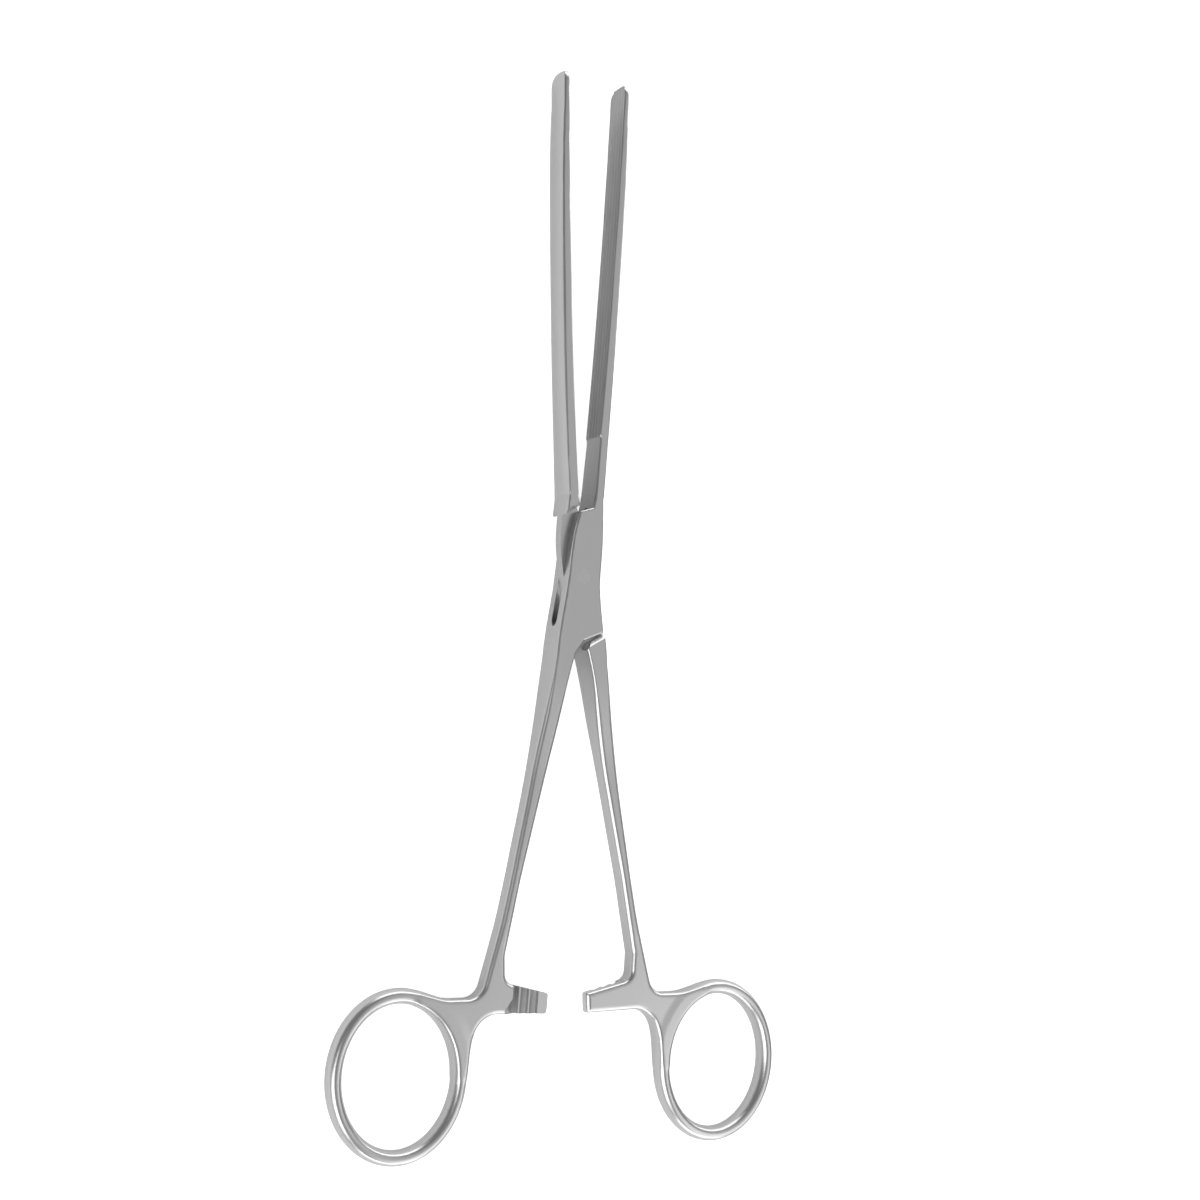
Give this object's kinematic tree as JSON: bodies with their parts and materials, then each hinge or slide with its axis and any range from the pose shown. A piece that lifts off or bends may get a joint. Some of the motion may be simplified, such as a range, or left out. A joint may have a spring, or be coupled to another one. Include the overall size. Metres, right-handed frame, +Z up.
{
  "type": "intestinal occlusion forceps",
  "caption": "Long straight steel clamping forceps: slender bowed jaws with lengthwise ridges, a box lock, spreading shanks, toothed ratchet bars and oval finger rings.",
  "frame": {"origin": "on the pivot axis, at the underside of the box lock, with the forceps lying flat", "axes": "+Y from the pivot towards the jaw tips, +Z up along the pivot axis, X across the forceps"},
  "size_m": [0.1042, 0.2298, 0.007],
  "materials": {
    "satin_steel": "satin",
    "pin_steel": "satin, dressed flush with the lock"
  },
  "bodies": {
    "box_side": {"box_arm": "satin_steel", "pivot_pin": "pin_steel"},
    "tongue_side": {"tongue_arm": "satin_steel"}
  },
  "joints": [
    {"name": "box_lock_pivot", "type": "hinge", "parent": "box_side", "child": "tongue_side", "pos_m": [0, 0, 0.0035], "axis": [0, 0, 1], "range_deg": [-7.1, 50]}
  ]
}
